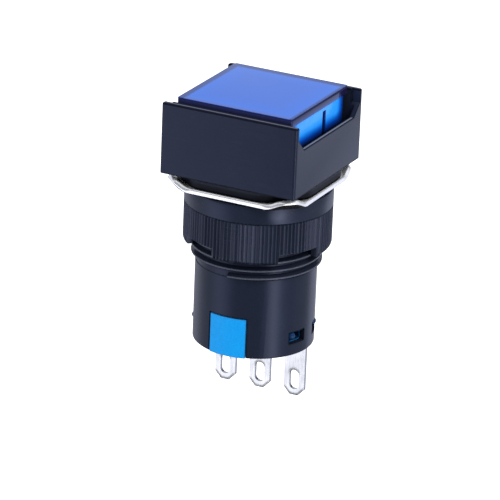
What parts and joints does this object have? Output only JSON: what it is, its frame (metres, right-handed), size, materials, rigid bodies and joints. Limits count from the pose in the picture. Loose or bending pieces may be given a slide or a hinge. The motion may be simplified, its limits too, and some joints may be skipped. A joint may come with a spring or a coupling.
{
  "type": "pushbutton switch",
  "caption": "Panel-mount pushbutton switch: square shrouded head with translucent cap, threaded neck with lock washer and ring nut, round barrel and solder tabs.",
  "frame": {"origin": "centre of the head's underside, on the button's axis, where it meets the front of the panel", "axes": "+Z out of the panel along the button's axis towards the operator, -Y the front of the head (the side of the base's tab), +X the normally open side"},
  "size_m": [0.0182, 0.0182, 0.0393],
  "materials": {
    "black_plastic": "satin moulded thermoplastic",
    "nut_plastic": "satin moulded thermoplastic",
    "lens_blue": "polished transparent tinted plastic",
    "plate_white": "matt white diffusing plastic",
    "holder_blue": "translucent moulded plastic",
    "plunger_black": "satin",
    "spring_steel": "drawn wire",
    "rubber_black": "matt",
    "nickel_steel": "bright nickel plate",
    "base_blue": "satin moulded thermoplastic",
    "tin_brass": "tinned brass",
    "arm_bronze": "rolled phosphor bronze",
    "silver_contact": "silver, lightly worn"
  },
  "bodies": {
    "housing_body": {"housing": "black_plastic", "panel_gasket": "rubber_black", "terminal_base": "base_blue", "terminal_common": "tin_brass", "terminal_no": "tin_brass", "terminal_nc": "tin_brass", "fixed_contact_no": "silver_contact", "fixed_contact_nc": "silver_contact", "return_spring": "spring_steel", "drive_spring": "spring_steel", "bias_spring": "spring_steel"},
    "button": {"lens": "lens_blue", "marking_plate": "plate_white", "lens_holder": "holder_blue", "plunger": "plunger_black"},
    "rocker": {"contact_arm": "arm_bronze", "moving_contact_nc": "silver_contact", "moving_contact_no": "silver_contact"},
    "washer": {"lock_washer": "nickel_steel"},
    "nut": {"ring_nut": "nut_plastic"}
  },
  "joints": [
    {"name": "button_press", "type": "slide", "parent": "housing_body", "child": "button", "axis": [0, 0, -1], "range_m": [0, 0.003], "stiffness_N_per_m": 400, "springref_m": -0.002, "deforming": ["return_spring", "drive_spring"]},
    {"name": "contact_swing", "type": "hinge", "parent": "housing_body", "child": "rocker", "pos_m": [0, 0, -0.01569], "axis": [0, 1, 0], "range_deg": [0, 12], "deforming": ["bias_spring"]},
    {"name": "washer_slide", "type": "slide", "parent": "housing_body", "child": "washer", "axis": [0, 0, -1], "range_m": [0, 0.004]},
    {"name": "nut_turn", "type": "hinge", "parent": "washer", "child": "nut", "pos_m": [0, 0, -0.0058], "axis": [0, 0, -1], "range_deg": [0, 1440]}
  ],
  "couplings": [
    {"joint": "contact_swing", "follows": "button_press", "rad_per_m": 69.813},
    {"joint": "nut_turn", "follows": "washer_slide", "rad_per_m": 6283.2}
  ]
}
